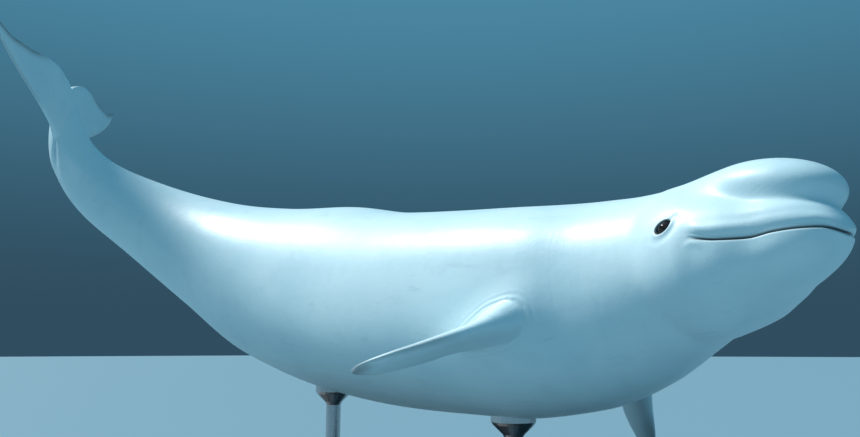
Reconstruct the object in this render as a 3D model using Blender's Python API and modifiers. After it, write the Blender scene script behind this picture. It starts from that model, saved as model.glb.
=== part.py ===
"""A life-size beluga whale, swimming in a shallow curve, on a flat display stand.

The whale is worked out straight and then bent. A place on the straight whale is (s, y, z):
s metres back from the tip of the lips along the spine, y to its left and z up. The spine
is a curve in the room, so bending only swaps the straight spine for the curved one.
The origin is the centre of the base's underside, +Z is up, and the head points along +X.
"""

import math

import bmesh
import bpy
import numpy as np
from mathutils import Matrix, Vector

# Size of the whale, from the tip of the lips to the notch between the flukes
BODY_LENGTH = 3.80

# The gap that touching pieces keep
GAP = 0.0003
SPACE_GAP = 0.0004

# How the whale lies in the room, at the spine point below the shoulders
SPINE_ROOT = 1.20
SPINE_HEIGHT = 0.70
HEADING_DEG = -13.2
NOSE_UP_DEG = 0.1
BANK_DEG = -11.1
BALANCE_AT = 1.55

# Bends of the spine: from, to, how much the far end rises, how much it turns left, in degrees
BENDS = [
    (0.40, 0.95, 5.8, -15.5),
    (1.30, 2.40, 11.4, 24.6),
    (2.20, 3.20, 13.1, 32.0),
    (3.10, 3.75, 48.8, -14.3),
]
SPINE_STEP = 0.01

# Girth of the trunk: s, height above the spine, depth below it, half width, squareness
GIRTH = [
    (0.36, 0.180, 0.168, 0.188, 2.0),
    (0.42, 0.184, 0.197, 0.200, 2.0),
    (0.50, 0.193, 0.229, 0.220, 2.05),
    (0.62, 0.211, 0.283, 0.254, 2.1),
    (0.80, 0.228, 0.337, 0.311, 2.15),
    (1.10, 0.254, 0.373, 0.362, 2.2),
    (1.50, 0.299, 0.373, 0.387, 2.2),
    (1.90, 0.342, 0.367, 0.372, 2.15),
    (2.30, 0.296, 0.336, 0.320, 2.1),
    (2.70, 0.233, 0.238, 0.235, 2.0),
    (3.05, 0.170, 0.164, 0.150, 1.9),
    (3.35, 0.123, 0.119, 0.090, 1.8),
    (3.55, 0.087, 0.086, 0.058, 1.8),
    (3.70, 0.046, 0.044, 0.040, 2.0),
    (3.76, 0.022, 0.022, 0.024, 2.0),
]
RIDGE = {"front": 1.66, "back": 2.40, "height": 0.022, "half_width": 0.022}

# The head is one smooth skin over plump forms: centre, half sizes along s, y and z,
# how far the rear end dips in degrees, and how softly the form runs into the others
CORE_FRONT = 0.24
HEAD_FORMS = [
    ((0.208, 0.0, 0.096), (0.180, 0.128, 0.075), -10.0, 0.045),
    ((0.244, 0.0, -0.043), (0.220, 0.122, 0.058), 0.0, 0.020),
    ((0.248, 0.0, 0.010), (0.210, 0.137, 0.062), -5.0, 0.034),
    ((0.251, 0.0, -0.084), (0.209, 0.114, 0.053), 7.0, 0.030),
    ((0.320, 0.112, -0.030), (0.120, 0.066, 0.090), 0.0, 0.050),
    ((0.320, -0.112, -0.030), (0.120, 0.066, 0.090), 0.0, 0.050),
]
HEAD_BACK = 0.48
FIELD_BACK = 0.62

# The mouth: level at the sides, drooping in front, its corners raised; s and height
MOUTH_Z = -0.050
MOUTH_LINE = [
    (0.0, -0.072), (0.018, -0.062), (0.030, -0.043), (0.045, -0.038), (0.080, -0.038),
    (0.120, -0.039), (0.160, -0.043), (0.215, -0.040), (0.262, -0.028),
]
MOUTH_CORNER = 0.262
MOUTH_SWAY = 0.060
MOUTH_FADE = 0.030
MOUTH_GROOVE = {"depth": 0.007, "half_width": 0.0040}
LIP_SWELL = {"height": 0.0030, "offset": 0.012, "half_width": 0.006}
FAN_CENTRE = 0.25

# The eyes: place on the side of the head, ball, opening and lids
SLOPE_STEP = 0.004
EYE_S = 0.326
EYE_Z = 0.012
EYE_RADIUS = 0.0210
EYE_DEPTH = 0.0190
LID_OPENING = (0.0205, 0.0128)
LID_SLANT_DEG = 30.0
LID_RIM = {"height": 0.0035, "at": 1.45, "half_width": 0.45}
LID_PIT = {"depth": 0.0065, "inner": 0.7, "outer": 1.15}

# The blowhole: a crescent across the top of the head, its horns to the front
BLOWHOLE = {"s": 0.372, "half_span": 0.026, "bow": 0.011, "depth": 0.009, "half_width": 0.0040}
BLOWHOLE_LIP = {"height": 0.0027, "ahead": 0.012, "half_width": 0.008}

# The named lengths of the trunk behind the head: where each ends, and its rings
TRUNK_LENGTHS = [
    ("neck", 0.66, 5),
    ("chest", 1.40, 12),
    ("abdomen", 2.30, 13),
    ("tail_base", 3.00, 10),
    ("tail_stock", 3.76, 16),
]

# Flippers: root on the side of the chest, reach, and the way each one points in degrees
FLIPPER_ROOT = (0.855, 0.285, -0.165)
FLIPPER_REACH = 0.400
FLIPPER_SUNK = 0.07
FLIPPER_CURL = 0.028
FLIPPER_POSES = {
    "right": {"side": -1, "sweep": 20.0, "droop": 29.0, "pitch": 22.0},
    "left": {"side": 1, "sweep": 29.0, "droop": 39.0, "pitch": -34.0},
}

# Flukes: pivot on the stock, half span, and how they are carried
FLUKE_ROOT = 3.62
FLUKE_HALF_SPAN = 0.505
FLUKE_TILT_DEG = 15.3
FLUKE_DROOP = 0.055
FLUKE_THICKNESS = 0.046

# The stand: base plate, and two turned posts under the belly
BASE_SIZE = (2.10, 0.90, 0.040)
BASE_ROUNDING = 0.008
POSTS = [(1.12, "front", "chest"), (2.02, "rear", "abdomen")]
POST_RADIUS = 0.028
POST_FOOT = (0.085, 0.014)
POST_CUP = (0.070, 0.050)
POST_EDGE = 0.003
POST_SPARE = 0.06
POST_STEPS = 24

# Colours: red, green, blue, roughness, metallic
SKIN = (0.83, 0.86, 0.86, 0.40, 0.0)
EYE_DARK = (0.020, 0.015, 0.013, 0.10, 0.0)
BASE_PAINT = (0.045, 0.050, 0.055, 0.45, 0.0)
POST_STEEL = (0.55, 0.56, 0.57, 0.30, 1.0)


def clear_scene():
    """Remove every object that the file starts with."""
    for obj in list(bpy.data.objects):
        bpy.data.objects.remove(obj, do_unlink=True)


def new_collection(name):
    """A collection linked under the scene."""
    group = bpy.data.collections.new(name)
    bpy.context.scene.collection.children.link(group)
    return group


def material(name, look):
    """A Principled material with one colour, roughness and metallic value."""
    result = bpy.data.materials.new(name)
    result.use_nodes = True
    shader = result.node_tree.nodes["Principled BSDF"]
    shader.inputs["Base Color"].default_value = (*look[:3], 1.0)
    shader.inputs["Roughness"].default_value = look[3]
    shader.inputs["Metallic"].default_value = look[4]
    result.diffuse_color = (*look[:3], 1.0)
    return result


def smooth_curve(at, knots, values):
    """A smooth curve through the knots that never overshoots between them."""
    knots = np.asarray(knots, float)
    values = np.asarray(values, float)
    rise = np.diff(values) / np.diff(knots)
    slope = np.zeros_like(values)
    same_way = rise[1:] * rise[:-1] > 0
    mean = 2 * rise[1:] * rise[:-1] / np.where(same_way, rise[1:] + rise[:-1], 1)
    slope[1:-1] = np.where(same_way, mean, 0)
    slope[0] = rise[0]
    slope[-1] = rise[-1]
    at = np.clip(np.asarray(at, float), knots[0], knots[-1])
    cell = np.clip(np.searchsorted(knots, at) - 1, 0, len(knots) - 2)
    width = knots[cell + 1] - knots[cell]
    t = (at - knots[cell]) / width
    near = (1 + 2 * t) * (1 - t) ** 2 * values[cell] + t * (1 - t) ** 2 * width * slope[cell]
    far = t * t * (3 - 2 * t) * values[cell + 1] + t * t * (t - 1) * width * slope[cell + 1]
    return near + far


def turn(axis, degrees):
    """A rotation about X, Y or Z as a numpy matrix."""
    return np.array(Matrix.Rotation(math.radians(degrees), 3, axis))


def build_spine():
    """Points and axes (forward, left, up) along the bent spine, in the room."""
    s = np.arange(0, BODY_LENGTH + SPINE_STEP / 2, SPINE_STEP)
    rise = np.zeros_like(s)
    swing = np.zeros_like(s)
    for start, end, up, left in BENDS:
        t = np.clip((s - start) / (end - start), 0, 1)
        share = 6 * t * (1 - t) / (end - start) * SPINE_STEP
        rise += share * up
        swing += share * left
    root = int(round(SPINE_ROOT / SPINE_STEP))
    axes = np.zeros((len(s), 3, 3))
    points = np.zeros((len(s), 3))
    axes[root] = turn("Z", HEADING_DEG) @ turn("Y", -NOSE_UP_DEG) @ turn("X", BANK_DEG)
    for i in range(root + 1, len(s)):
        axes[i] = axes[i - 1] @ turn("Y", rise[i]) @ turn("Z", swing[i])
        points[i] = points[i - 1] - (axes[i][:, 0] + axes[i - 1][:, 0]) * SPINE_STEP / 2
    for i in range(root - 1, -1, -1):
        axes[i] = axes[i + 1] @ turn("Y", -rise[i]) @ turn("Z", swing[i])
        points[i] = points[i + 1] + (axes[i][:, 0] + axes[i + 1][:, 0]) * SPINE_STEP / 2
    balance = points[int(round(BALANCE_AT / SPINE_STEP))]
    points += np.array([-balance[0], -balance[1], SPINE_HEIGHT])
    return s, points, axes


SPINE = build_spine()


def spine_at(s):
    """Spine points and axes at the distances s, the ends carried on straight."""
    knots, points, axes = SPINE
    s = np.asarray(s, float)
    inside = np.clip(s, knots[0], knots[-1])
    place = np.stack([np.interp(inside, knots, points[:, k]) for k in range(3)], -1)
    frame = np.stack([np.interp(inside, knots, axes[:, i, j]) for i in range(3) for j in range(3)], -1)
    frame = frame.reshape(*s.shape, 3, 3)
    return place - frame[..., :, 0] * (s - inside)[..., None], frame


def to_room(places):
    """Straight places (s, y, z) carried onto the bent spine."""
    places = np.asarray(places, float)
    point, frame = spine_at(places[..., 0])
    return point + frame[..., :, 1] * places[..., 1:2] + frame[..., :, 2] * places[..., 2:3]


def trunk_radius(s, angle):
    """Distance from the spine to the trunk's skin, at an angle round from its left."""
    table = np.array(GIRTH)
    top, bottom, half, square = (smooth_curve(s, table[:, 0], table[:, k]) for k in range(1, 5))
    across = np.abs(np.cos(angle)) / half
    upright = np.abs(np.sin(angle)) / np.where(np.sin(angle) > 0, top, bottom)
    radius = (across ** square + upright ** square) ** (-1 / square)
    along = np.clip((s - RIDGE["front"]) / (RIDGE["back"] - RIDGE["front"]), 0, 1)
    side = radius * np.cos(angle) / RIDGE["half_width"]
    crest = np.sin(math.pi * along) ** 0.8 * np.exp(-side ** 2) * (np.sin(angle) > 0)
    return radius + RIDGE["height"] * crest


def blend(a, b, reach):
    """The nearer of two surfaces, run together where they are within reach."""
    near = np.clip(reach - np.abs(a - b), 0, None)
    return np.minimum(a, b) - near * near / (4 * reach)


def plump_form(places, centre, half, dip_deg):
    """About the distance to an ellipsoid whose rear end dips."""
    rel = places - np.array(centre)
    dip = math.radians(dip_deg)
    along = rel[..., 0] * math.cos(dip) - rel[..., 2] * math.sin(dip)
    up = rel[..., 0] * math.sin(dip) + rel[..., 2] * math.cos(dip)
    scaled = np.stack([along / half[0], rel[..., 1] / half[1], up / half[2]], -1)
    reach = np.linalg.norm(scaled, axis=-1)
    steep = np.linalg.norm(scaled / np.array(half), axis=-1)
    return reach * (reach - 1) / np.maximum(steep, 1e-9)


def head_field(places):
    """Below zero inside the head and neck, above zero outside."""
    s, y, z = places[..., 0], places[..., 1], places[..., 2]
    first = GIRTH[1][0]
    radius = trunk_radius(np.maximum(s, first), np.arctan2(z, y))
    front = np.clip(first - s, 0, None) / CORE_FRONT
    field = (np.hypot(np.hypot(y, z) / radius, front) - 1) * radius
    for centre, half, dip_deg, reach in HEAD_FORMS:
        field = blend(field, plump_form(places, centre, half, dip_deg), reach)
    return field


def reach_skin(start, ways, farthest=0.45, steps=70):
    """Where rays from the start points leave the head, as distances along the rays."""
    tries = np.linspace(0.01, farthest, steps)
    inside = np.zeros(ways.shape[:-1])
    for reach in tries:
        found = head_field(start + ways * reach) < 0
        inside = np.where(found, reach, inside)
    outside = inside + tries[1] - tries[0]
    for _ in range(24):
        middle = (inside + outside) / 2
        within = head_field(start + ways * middle[..., None]) < 0
        inside = np.where(within, middle, inside)
        outside = np.where(within, outside, middle)
    return inside


def bell(distance, half_width):
    """One at zero distance, falling smoothly to nothing past the half width."""
    return np.exp(-(distance / half_width) ** 2)


def fade(at, start, end):
    """Zero before the start and one past the end, smooth between."""
    t = np.clip((at - start) / (end - start), 0, 1)
    return t * t * (3 - 2 * t)


def eye_frame(side):
    """The eye's place on the skin and its axes: along the opening, across it, outwards."""
    start = np.array([EYE_S, 0.0, EYE_Z])
    skin = start + np.array([0.0, side, 0.0]) * reach_skin(start, np.array([0.0, float(side), 0.0]))
    steps = np.eye(3) * SLOPE_STEP
    outward = head_field(skin + steps) - head_field(skin - steps)
    outward /= np.linalg.norm(outward)
    slant = math.radians(LID_SLANT_DEG)
    along = np.array([-math.cos(slant), 0.0, math.sin(slant)])
    along -= outward * (along @ outward)
    along /= np.linalg.norm(along)
    return skin, along, np.cross(outward, along), outward


def face_relief(places):
    """How far the skin of the head is raised or sunk by mouth, lips, lids and blowhole."""
    s, y, z = places[..., 0], places[..., 1], places[..., 2]
    at_mouth = 1 - fade(s, MOUTH_CORNER - MOUTH_FADE, MOUTH_CORNER)
    relief = -MOUTH_GROOVE["depth"] * at_mouth * bell(z - MOUTH_Z, MOUTH_GROOVE["half_width"])
    for lip in (-1, 1):
        beside = z - MOUTH_Z - lip * LIP_SWELL["offset"]
        relief += LIP_SWELL["height"] * at_mouth * bell(beside, LIP_SWELL["half_width"])
    for side in (-1, 1):
        skin, along, across, _ = eye_frame(side)
        rel = places - skin
        wide = np.hypot(rel @ along / LID_OPENING[0], rel @ across / LID_OPENING[1])
        wide = np.where(y * side > 0, wide, np.inf)
        relief += LID_RIM["height"] * bell(wide - LID_RIM["at"], LID_RIM["half_width"])
        relief -= LID_PIT["depth"] * (1 - fade(wide, LID_PIT["inner"], LID_PIT["outer"]))
    bow = s - BLOWHOLE["s"] + BLOWHOLE["bow"] * (y / BLOWHOLE["half_span"]) ** 2
    within = (1 - fade(np.abs(y), BLOWHOLE["half_span"] * 0.8, BLOWHOLE["half_span"] * 1.15)) * (z > 0)
    relief -= BLOWHOLE["depth"] * bell(bow, BLOWHOLE["half_width"]) * within
    relief += BLOWHOLE_LIP["height"] * bell(bow + BLOWHOLE_LIP["ahead"], BLOWHOLE_LIP["half_width"]) * within
    return relief


def axis_height(s):
    """The head's rays start at mouth height in front and on the spine at the neck."""
    return MOUTH_Z * (1 - fade(s, FAN_CENTRE, FIELD_BACK))


def sway(places):
    """Places lifted or dropped beside the mouth, so that lips and mouth follow its line."""
    s, z = places[..., 0], places[..., 2]
    line = np.array(MOUTH_LINE)
    rise = smooth_curve(s, line[:, 0], line[:, 1]) - MOUTH_Z
    rise *= 1 - fade(s, MOUTH_CORNER, MOUTH_CORNER + 0.05)
    swayed = places.copy()
    swayed[..., 2] += rise * bell(z - MOUTH_Z, MOUTH_SWAY)
    return swayed


def face_grid(turns_deg, heights_deg, stations):
    """Places over the head: half rings turned round the snout, then whole rings to the neck.

    A half ring runs from under the jaw to the top of the head, all of them meeting there.
    """
    up = np.radians(np.asarray(heights_deg, float))
    swing = np.radians(np.asarray(turns_deg, float))[:, None]
    level_reach = np.cos(up)
    fan_ways = [-np.cos(swing) * level_reach, np.sin(swing) * level_reach, np.sin(up) + 0 * swing]
    fan_ways = np.stack(fan_ways, -1)
    fan_start = np.array([FAN_CENTRE, 0.0, axis_height(FAN_CENTRE)]) + 0 * fan_ways
    around = np.concatenate([up, math.pi - up[-2:0:-1]])
    level = np.asarray(stations, float)[:, None] + 0 * around
    ring_ways = np.stack([0 * level, np.cos(around) + 0 * level, np.sin(around) + 0 * level], -1)
    ring_start = np.stack([level, 0 * level, axis_height(level)], -1)
    grids = []
    for start, ways in ((fan_start, fan_ways), (ring_start, ring_ways)):
        reach = reach_skin(start, ways)
        skin = start + ways * reach[..., None]
        grids.append(sway(start + ways * (reach + face_relief(skin))[..., None]))
    return grids


def face_faces(turns, heights, stations):
    """Faces of the head: the fan of half rings, the rings behind it, and a flat back."""
    count = 2 * (heights - 1)
    top = heights - 1
    column = [list(range(heights))]
    for turn_index in range(turns):
        first = stations * count + turn_index * (heights - 2)
        column.append([0] + list(range(first, first + heights - 2)) + [top])
    column.append([(count - k) % count for k in range(heights)])
    faces = []
    for left, right in zip(column, column[1:]):
        for k in range(heights - 1):
            corners = (left[k], left[k + 1], right[k + 1], right[k])
            faces.append(tuple(dict.fromkeys(corners)))
    return faces + ring_faces(stations, count, front_cap=False)


def mesh_object(name, points, faces, group, look=None, smooth_deg=40):
    """A mesh object from points and faces, its normals out and its round parts smooth."""
    mesh = bpy.data.meshes.new(name)
    mesh.from_pydata([tuple(p) for p in points], [], faces)
    work = bmesh.new()
    work.from_mesh(mesh)
    bmesh.ops.recalc_face_normals(work, faces=work.faces)
    work.to_mesh(mesh)
    work.free()
    mesh.shade_smooth()
    mesh.set_sharp_from_angle(angle=math.radians(smooth_deg))
    obj = bpy.data.objects.new(name, mesh)
    group.objects.link(obj)
    if look is not None:
        mesh.materials.append(look)
    return obj


def ring_faces(rings, count, front_cap=True):
    """Quads between rings of equal count, with flat ends."""
    faces = []
    for ring in range(rings - 1):
        for k in range(count):
            a = ring * count + k
            b = ring * count + (k + 1) % count
            faces.append((a, b, b + count, a + count))
    if front_cap:
        faces.append(tuple(range(count))[::-1])
    last = (rings - 1) * count
    faces.append(tuple(range(last, last + count)))
    return faces


def angles_round(count, extra_deg):
    """Even angles round a section, from its left over its top, with some more added."""
    even = np.arange(count) * 2 * math.pi / count
    return np.unique(np.round(np.concatenate([even, np.radians(extra_deg) % (2 * math.pi)]), 6))


def trunk_length(name, front, back, rings, group, look=None, inflate=0.0):
    """One named length of the trunk between two flat cuts across the spine."""
    around = angles_round(36, (84.0, 87.5, 92.5, 96.0) if back > RIDGE["front"] else ())
    at = np.linspace(front, back, rings)[:, None]
    radius = trunk_radius(at, around[None, :]) + inflate
    at[0] -= inflate
    at[-1] += inflate
    places = np.stack([at + 0 * radius, radius * np.cos(around), radius * np.sin(around)], -1)
    points = to_room(places).reshape(-1, 3)
    return mesh_object(name, points, ring_faces(rings, len(around)), group, look)


def boolean(obj, cutter, operation):
    """Add an exact Boolean modifier."""
    step = obj.modifiers.new(operation.title() + " " + cutter.name, "BOOLEAN")
    step.operation = operation
    step.solver = "EXACT"
    step.object = cutter


def keep_largest(obj):
    """Apply the modifiers and keep only the largest closed surface."""
    bpy.context.view_layer.update()
    graph = bpy.context.evaluated_depsgraph_get()
    mesh = bpy.data.meshes.new_from_object(obj.evaluated_get(graph))
    work = bmesh.new()
    work.from_mesh(mesh)
    left = set(work.faces)
    bodies = []
    while left:
        grown = [left.pop()]
        body = []
        while grown:
            face = grown.pop()
            body.append(face)
            beside = {other for edge in face.edges for other in edge.link_faces} & left
            left -= beside
            grown.extend(beside)
        bodies.append(body)
    bodies.sort(key=lambda body: sum(face.calc_area() for face in body))
    scraps = [face for body in bodies[:-1] for face in body]
    bmesh.ops.delete(work, geom=scraps, context="FACES")
    work.to_mesh(mesh)
    work.free()
    obj.modifiers.clear()
    obj.data = mesh


def jaw_wedge(name, grow, group):
    """The space of the lower jaw: below the mouth line, back to its corners and the throat."""
    rear = MOUTH_CORNER - 0.004
    at = np.array([-0.02, 0.004, 0.012, 0.020, 0.030, 0.060, 0.110, 0.160, 0.190, 0.215, 0.240, rear])
    line = np.array(MOUTH_LINE)
    height = smooth_curve(at, line[:, 0], line[:, 1]) + grow
    profile = list(zip(at, height))
    profile[-1] = (rear + grow, height[-1])
    profile += [(rear + 0.05 + grow, -0.30), (at[0], -0.30)]
    points = [to_room((s, side * 0.30, z)) for side in (-1, 1) for s, z in profile]
    count = len(profile)
    faces = [(k, (k + 1) % count, (k + 1) % count + count, k + count) for k in range(count)]
    faces += [tuple(range(count))[::-1], tuple(range(count, 2 * count))]
    return mesh_object(name, points, faces, group)


def make_head(group, cutters, skin):
    """Head and lower jaw: one skin, parted along the mouth line, with sockets for the eyes."""
    turns = np.linspace(83, -83, 23)
    near_eye = EYE_S + np.array([-0.034, -0.025, -0.018, -0.012, -0.006, 0.0, 0.006, 0.012, 0.018, 0.026])
    behind = (0.361, 0.3685, 0.376, 0.386, 0.41, 0.44, HEAD_BACK - GAP / 2)
    stations = [FAN_CENTRE, 0.264, 0.279, *near_eye, *behind]
    below = (-90, -78, -66, -55, -45, -36, -28, -21, -15, -10, -6.5, -3.8, -1.7)
    beside_eye = (8.4, 10.8, 12.8, 14.6, 16.4, 18.2, 20, 22, 24.5)
    above = (28.5, 35, 44, 54, 64, 73, 80, 84.5, 90)
    heights = (*below, 0, 1.7, 3.8, 6, *beside_eye, *above)
    fan, rings = face_grid(turns, heights, stations)
    points = np.concatenate([rings.reshape(-1, 3), fan[:, 1:-1].reshape(-1, 3)])
    faces = face_faces(len(turns), len(heights), len(stations))
    head = mesh_object("head", to_room(points), faces, group, skin)
    jaw = mesh_object("lower_jaw", to_room(points), faces, group, skin)
    boolean(head, jaw_wedge("jaw_space", GAP, cutters), "DIFFERENCE")
    boolean(jaw, jaw_wedge("jaw_form", 0.0, cutters), "INTERSECT")
    for side, name in ((1, "left"), (-1, "right")):
        socket = make_ball("socket_" + name, EYE_RADIUS + GAP, side, cutters, (24, 14))
        boolean(head, socket, "DIFFERENCE")
    keep_largest(head)
    keep_largest(jaw)


def make_ball(name, radius, side, group, fineness, look=None):
    """A ball at an eye's place, its pole outwards."""
    skin, along, across, outward = eye_frame(side)
    centre = skin - outward * EYE_DEPTH
    mesh = bpy.data.meshes.new(name)
    work = bmesh.new()
    bmesh.ops.create_uvsphere(work, u_segments=fineness[0], v_segments=fineness[1], radius=radius)
    work.to_mesh(mesh)
    work.free()
    mesh.shade_smooth()
    obj = bpy.data.objects.new(name, mesh)
    group.objects.link(obj)
    _, frame = spine_at(EYE_S)
    # The spine's frame is (forward, left, up), and s runs back along forward
    axes = [frame @ np.array([-v[0], v[1], v[2]]) for v in (along, across, outward)]
    pose = Matrix([[float(axes[c][r]) for c in range(3)] for r in range(3)]).to_4x4()
    pose.translation = Vector(to_room(centre))
    obj.matrix_world = pose
    if look is not None:
        mesh.materials.append(look)
    return obj


def blade(name, leading, trailing, thickness, lift, place, group, look, fineness):
    """A fin: sections from a leading to a trailing edge, run along the span."""
    across, along = fineness
    span = 1 - (1 - np.linspace(0, 1, along)) ** 1.25
    lead = leading(span)[:, None]
    trail = trailing(span)[:, None]
    t = (1 - np.cos(np.linspace(0, math.pi, across))) / 2
    top = np.sqrt(np.clip(1 - (2 * t - 1) ** 2, 0, None)) ** 0.9 * (1.25 - 0.55 * t)
    upper = thickness(span)[:, None] / 2 * top[None, :]
    chord = lead + (trail - lead) * t[None, :]
    mid = lift(span)[:, None] + 0 * chord
    span_here = span[:, None] + 0 * chord
    over = np.stack([span_here, chord, mid + upper], -1)
    under = np.stack([span_here, chord, mid - upper], -1)[:, -2:0:-1]
    loop = np.concatenate([over, under], 1)
    count = loop.shape[1]
    points = place(loop.reshape(-1, 3))
    return mesh_object(name, points, ring_faces(along, count), group, look, smooth_deg=60)


def flipper(name, pose, group, look):
    """A flipper: narrow at its root, broad and rounded past its middle, its tip curled up."""
    root, frame = spine_at(FLIPPER_ROOT[0])
    side = pose["side"]
    sweep, droop, pitch = (math.radians(pose[word]) for word in ("sweep", "droop", "pitch"))
    out = np.array([-math.sin(sweep), side * math.cos(sweep), 0.0]) * math.cos(droop)
    out[2] = -math.sin(droop)
    ahead = np.array([1.0, 0, 0]) - out * out[0]
    ahead /= np.linalg.norm(ahead)
    top = np.cross(ahead, out) * side
    lead_way = ahead * math.cos(pitch) + top * math.sin(pitch)
    top_way = top * math.cos(pitch) - ahead * math.sin(pitch)
    base = root + frame @ np.array([0, side * FLIPPER_ROOT[1], FLIPPER_ROOT[2]])
    whole = FLIPPER_REACH + FLIPPER_SUNK

    def reach_of(span):
        return span * whole - FLIPPER_SUNK

    def leading(span):
        x = reach_of(span) / FLIPPER_REACH
        return -smooth_curve(x, (-0.3, 0, 0.25, 0.5, 0.75, 0.9, 0.97, 1.0),
                             (0.070, 0.068, 0.078, 0.086, 0.072, 0.040, 0.010, -0.030))

    def trailing(span):
        x = reach_of(span) / FLIPPER_REACH
        return smooth_curve(x, (-0.3, 0, 0.25, 0.5, 0.75, 0.9, 0.97, 1.0),
                            (0.070, 0.070, 0.104, 0.134, 0.130, 0.104, 0.076, 0.048))

    def thickness(span):
        x = reach_of(span) / FLIPPER_REACH
        return smooth_curve(x, (-0.3, 0, 0.3, 0.6, 0.85, 1.0), (0.085, 0.072, 0.048, 0.034, 0.022, 0.010))

    def lift(span):
        x = np.clip(reach_of(span) / FLIPPER_REACH, 0, 1)
        return FLIPPER_CURL * x ** 3

    def place(points):
        rel = out * reach_of(points[:, 0:1])
        rel = rel - lead_way * points[:, 1:2] + top_way * points[:, 2:3]
        return base + rel @ frame.T

    return blade(name, leading, trailing, thickness, lift, place, group, look, (10, 17))


def fluke(name, side, group, look):
    """One fluke: swept back, its trailing edge full and bowed, thick only at the root."""
    root, frame = spine_at(FLUKE_ROOT)
    tilt = math.radians(FLUKE_TILT_DEG)
    back = frame @ np.array([-math.cos(tilt), 0, math.sin(tilt)])
    up = frame @ np.array([math.sin(tilt), 0, math.cos(tilt)])
    left = frame[:, 1]
    notch = BODY_LENGTH - FLUKE_ROOT

    def leading(span):
        return smooth_curve(span, (0, 0.12, 0.25, 0.45, 0.65, 0.85, 0.95, 1.0),
                            (-0.085, -0.060, -0.018, 0.044, 0.105, 0.180, 0.232, 0.284))

    def trailing(span):
        return smooth_curve(span, (0, 0.04, 0.12, 0.26, 0.42, 0.60, 0.78, 0.90, 1.0),
                            (notch - 0.012, notch + 0.020, notch + 0.054, notch + 0.078, notch + 0.076,
                             notch + 0.064, notch + 0.066, notch + 0.086, notch + 0.112))

    def thickness(span):
        return smooth_curve(span, (0, 0.15, 0.4, 0.7, 1.0),
                            (FLUKE_THICKNESS, FLUKE_THICKNESS * 0.8, 0.022, 0.013, 0.006))

    def lift(span):
        return -FLUKE_DROOP * span ** 2

    def place(points):
        reach = GAP / 2 + points[:, 0:1] * (FLUKE_HALF_SPAN - GAP / 2)
        return root + left * side * reach + back * points[:, 1:2] + up * points[:, 2:3]

    return blade(name, leading, trailing, thickness, lift, place, group, look, (10, 17))


def post(name, s, group, look, body):
    """A turned post from the base to the belly, with a foot below and a cup on top."""
    point, _ = spine_at(s)
    foot_radius, foot_height = POST_FOOT
    cup_radius, cup_height = POST_CUP
    floor = BASE_SIZE[2] + GAP
    belly = underside(point, body)
    top = belly + POST_SPARE
    edge = POST_EDGE
    profile = [
        (0.0, top), (cup_radius, top), (cup_radius, belly - 4 * edge),
        (cup_radius - 2 * edge, belly - 7 * edge), (POST_RADIUS + 2 * edge, belly - cup_height),
        (POST_RADIUS, belly - cup_height - 4 * edge),
        (POST_RADIUS, floor + foot_height + 4 * edge), (POST_RADIUS + 3 * edge, floor + foot_height + edge),
        (foot_radius - edge, floor + foot_height), (foot_radius, floor + foot_height - edge),
        (foot_radius, floor), (0.0, floor),
    ]
    mesh = bpy.data.meshes.new(name)
    mesh.from_pydata([(r, 0.0, z) for r, z in profile], [(k, k + 1) for k in range(len(profile) - 1)], [])
    obj = bpy.data.objects.new(name, mesh)
    group.objects.link(obj)
    obj.location = (point[0], point[1], 0.0)
    spin = obj.modifiers.new("Turned", "SCREW")
    spin.axis = "Z"
    spin.angle = math.tau
    spin.steps = POST_STEPS
    spin.render_steps = POST_STEPS
    spin.use_merge_vertices = True
    spin.merge_threshold = 0.00001
    spin.use_smooth_shade = True
    mesh.materials.append(look)
    return obj


def underside(point, body):
    """Height of the lowest skin right above a point of the base."""
    bpy.context.view_layer.update()
    start = Vector((point[0], point[1], 0.0))
    found, place, _, _ = body.ray_cast(start, Vector((0, 0, 1)))
    return place.z if found else point[2]


def make_base(group, look):
    """The flat base plate, its edges slightly rounded."""
    bpy.ops.mesh.primitive_cube_add(size=1, location=(0, 0, BASE_SIZE[2] / 2))
    obj = bpy.context.active_object
    obj.name = "stand_base"
    obj.data.name = "stand_base"
    obj.data.transform(Matrix.Diagonal((*BASE_SIZE, 1)))
    for owner in list(obj.users_collection):
        owner.objects.unlink(obj)
    group.objects.link(obj)
    edge = obj.modifiers.new("Rounded edges", "BEVEL")
    edge.width = BASE_ROUNDING
    edge.segments = 2
    obj.data.materials.append(look)
    return obj


clear_scene()
whale = new_collection("beluga_whale")
cutters = new_collection("cutters")
skin = material("skin", SKIN)
eye_dark = material("eye_dark", EYE_DARK)
base_paint = material("base_paint", BASE_PAINT)
post_steel = material("post_steel", POST_STEEL)

# Head and trunk; each length of the trunk also has a slightly fuller twin that cuts its neighbours
make_head(whale, cutters, skin)
make_ball("eye_left", EYE_RADIUS, 1, whale, (16, 10), eye_dark)
make_ball("eye_right", EYE_RADIUS, -1, whale, (16, 10), eye_dark)
spaces = {}
front = HEAD_BACK
for name, back, rings in TRUNK_LENGTHS:
    start = front + GAP / 2
    end = back - GAP / 2
    trunk_length(name, start, end, rings, whale, skin)
    spaces[name] = trunk_length(name + "_space", start, end, rings, cutters, inflate=SPACE_GAP)
    front = back

for cutter in cutters.objects:
    cutter.hide_render = True
    cutter.display_type = "WIRE"

# Fins, each cut back to the skin that it grows from
for word, pose in FLIPPER_POSES.items():
    boolean(flipper("flipper_" + word, pose, whale, skin), spaces["chest"], "DIFFERENCE")
    keep_largest(bpy.data.objects["flipper_" + word])
    boolean(fluke("fluke_" + word, pose["side"], whale, skin), spaces["tail_stock"], "DIFFERENCE")
    keep_largest(bpy.data.objects["fluke_" + word])

# Stand
make_base(whale, base_paint)
for at, word, length in POSTS:
    boolean(post("stand_rod_" + word, at, whale, post_steel, spaces[length]), spaces[length], "DIFFERENCE")
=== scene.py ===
import math

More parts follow.
